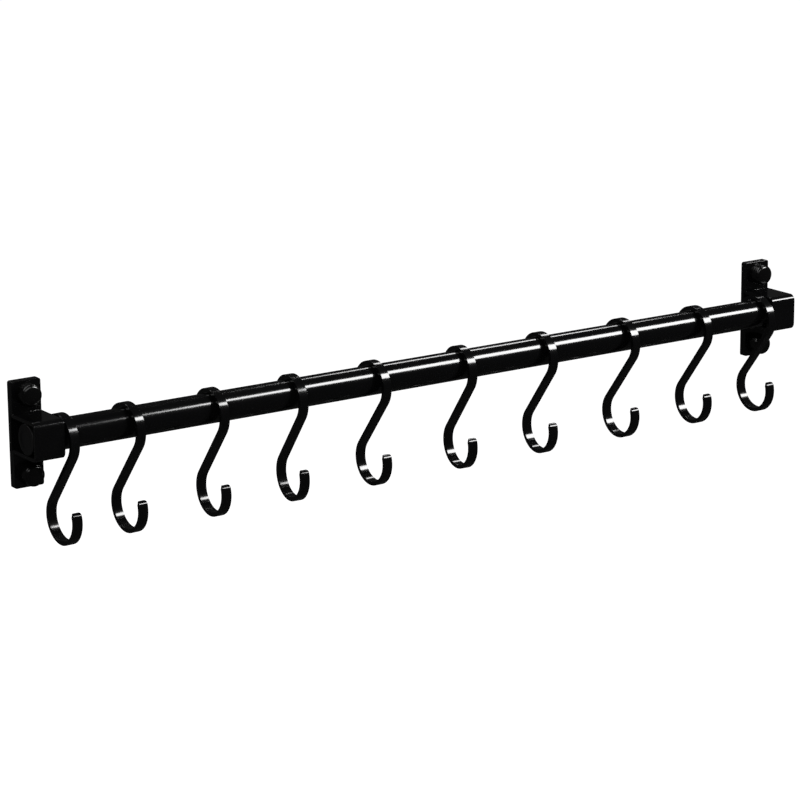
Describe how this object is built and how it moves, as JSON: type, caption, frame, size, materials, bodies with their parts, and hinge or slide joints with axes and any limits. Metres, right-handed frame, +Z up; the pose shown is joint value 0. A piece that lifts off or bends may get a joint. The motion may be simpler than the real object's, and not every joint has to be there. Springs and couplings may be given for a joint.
{
  "type": "kitchen utensil rail",
  "caption": "Wall-mounted kitchen rail: a round tube held at each end by a strap folded over a wall plate, with S-hooks of flat strip that hang on the tube and swing.",
  "frame": {"origin": "middle of the four wall screws, on the wall plane behind the wall plates", "axes": "+X along the rail, +Y into the wall, +Z up; the room and the hooks' mouths lie at -Y"},
  "size_m": [0.49, 0.0402, 0.0838],
  "materials": {
    "rail_lacquer": "gloss black lacquer",
    "bracket_lacquer": "gloss black lacquer",
    "hook_lacquer": "gloss black lacquer",
    "cap_plastic": "gloss black",
    "plug_plastic": "satin black",
    "screw_steel": "zinc plated"
  },
  "bodies": {
    "rail": {"rail_tube": "rail_lacquer", "left_wall_plate": "bracket_lacquer", "left_tube_strap": "bracket_lacquer", "left_end_plug": "plug_plastic", "right_wall_plate": "bracket_lacquer", "right_tube_strap": "bracket_lacquer", "right_end_plug": "plug_plastic", "wall_screws": "screw_steel", "screw_caps": "cap_plastic"},
    "hook_01": {"hook_01": "hook_lacquer"},
    "hook_02": {"hook_02": "hook_lacquer"},
    "hook_03": {"hook_03": "hook_lacquer"},
    "hook_04": {"hook_04": "hook_lacquer"},
    "hook_05": {"hook_05": "hook_lacquer"},
    "hook_06": {"hook_06": "hook_lacquer"},
    "hook_07": {"hook_07": "hook_lacquer"},
    "hook_08": {"hook_08": "hook_lacquer"},
    "hook_09": {"hook_09": "hook_lacquer"},
    "hook_10": {"hook_10": "hook_lacquer"}
  },
  "joints": [
    {"name": "hook_01_swing", "type": "hinge", "parent": "rail", "child": "hook_01", "pos_m": [-0.2252, -0.018, 0.001], "axis": [-1, 0, 0], "range_deg": [-5, 75]},
    {"name": "hook_02_swing", "type": "hinge", "parent": "rail", "child": "hook_02", "pos_m": [-0.18782, -0.018, 0.001], "axis": [-1, 0, 0], "range_deg": [-5, 75]},
    {"name": "hook_03_swing", "type": "hinge", "parent": "rail", "child": "hook_03", "pos_m": [-0.13827, -0.018, 0.001], "axis": [-1, 0, 0], "range_deg": [-5, 75]},
    {"name": "hook_04_swing", "type": "hinge", "parent": "rail", "child": "hook_04", "pos_m": [-0.09008, -0.018, 0.001], "axis": [-1, 0, 0], "range_deg": [-5, 75]},
    {"name": "hook_05_swing", "type": "hinge", "parent": "rail", "child": "hook_05", "pos_m": [-0.03918, -0.018, 0.001], "axis": [-1, 0, 0], "range_deg": [-5, 75]},
    {"name": "hook_06_swing", "type": "hinge", "parent": "rail", "child": "hook_06", "pos_m": [0.01711, -0.018, 0.001], "axis": [-1, 0, 0], "range_deg": [-5, 75]},
    {"name": "hook_07_swing", "type": "hinge", "parent": "rail", "child": "hook_07", "pos_m": [0.07071, -0.018, 0.001], "axis": [-1, 0, 0], "range_deg": [-5, 75]},
    {"name": "hook_08_swing", "type": "hinge", "parent": "rail", "child": "hook_08", "pos_m": [0.12701, -0.018, 0.001], "axis": [-1, 0, 0], "range_deg": [-5, 75]},
    {"name": "hook_09_swing", "type": "hinge", "parent": "rail", "child": "hook_09", "pos_m": [0.17926, -0.018, 0.001], "axis": [-1, 0, 0], "range_deg": [-5, 75]},
    {"name": "hook_10_swing", "type": "hinge", "parent": "rail", "child": "hook_10", "pos_m": [0.2252, -0.018, 0.001], "axis": [-1, 0, 0], "range_deg": [-5, 75]}
  ]
}
